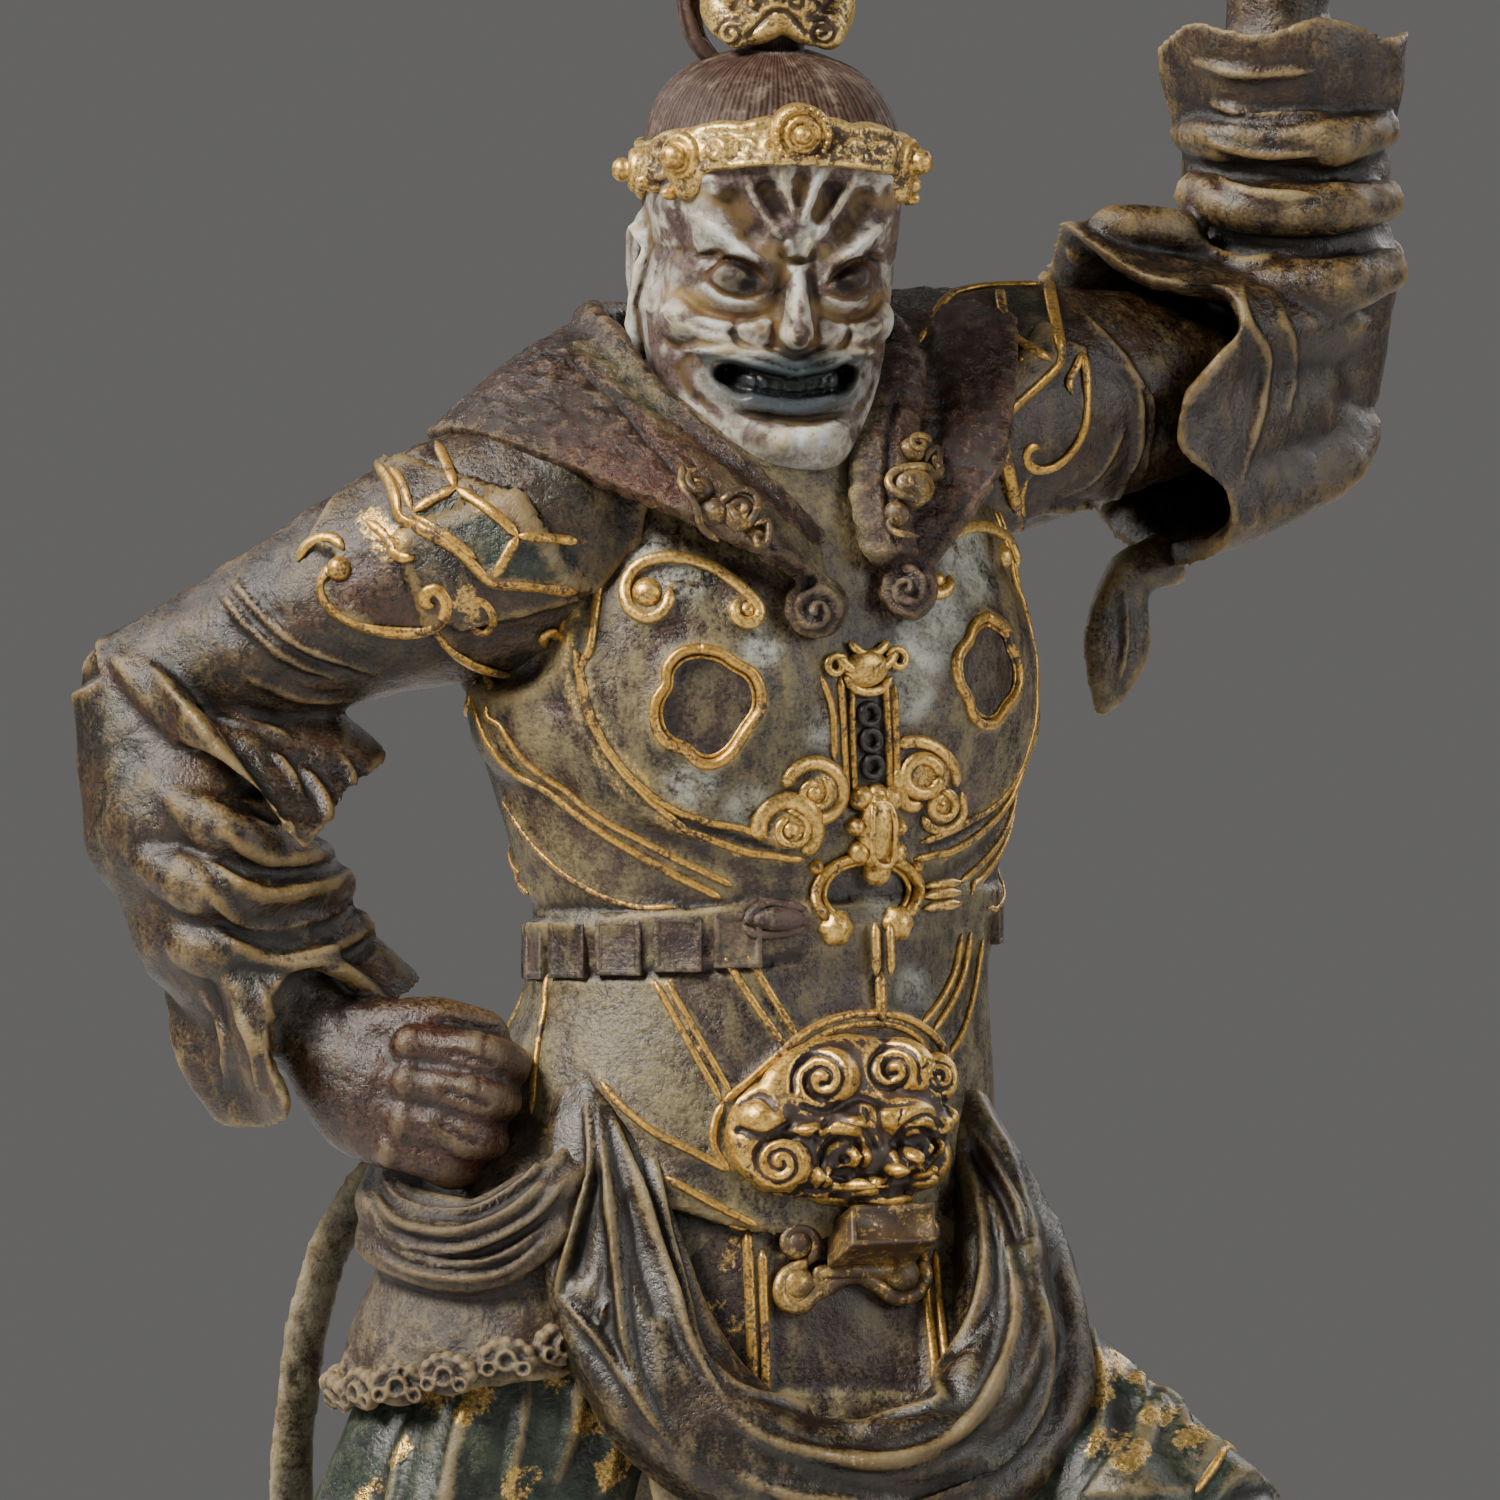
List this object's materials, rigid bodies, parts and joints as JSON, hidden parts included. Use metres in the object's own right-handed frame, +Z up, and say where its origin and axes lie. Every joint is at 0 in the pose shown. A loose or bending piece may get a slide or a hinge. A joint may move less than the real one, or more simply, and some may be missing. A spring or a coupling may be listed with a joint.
{
  "type": "lokapala figure",
  "caption": "Painted cast figure of an armoured guardian king, one fist on the hip and one raised, one foot on a boulder of its low rock plinth.",
  "frame": {"origin": "centre of the plinth's flat underside", "axes": "+Z up along the figure, -Y towards the viewer, +X towards the figure's left side"},
  "size_m": [0.1592, 0.1079, 0.3336],
  "materials": {
    "painted_cast": "aged paint over a cast body: dusty tan over purple brown, worn gold leaf on the ridges, grey white face, dark green skirts",
    "painted_rock": "matt dark grey brown paint, dusted lighter on the edges"
  },
  "bodies": {
    "root": {"figure": "painted_cast", "plinth": "painted_rock"}
  },
  "joints": []
}
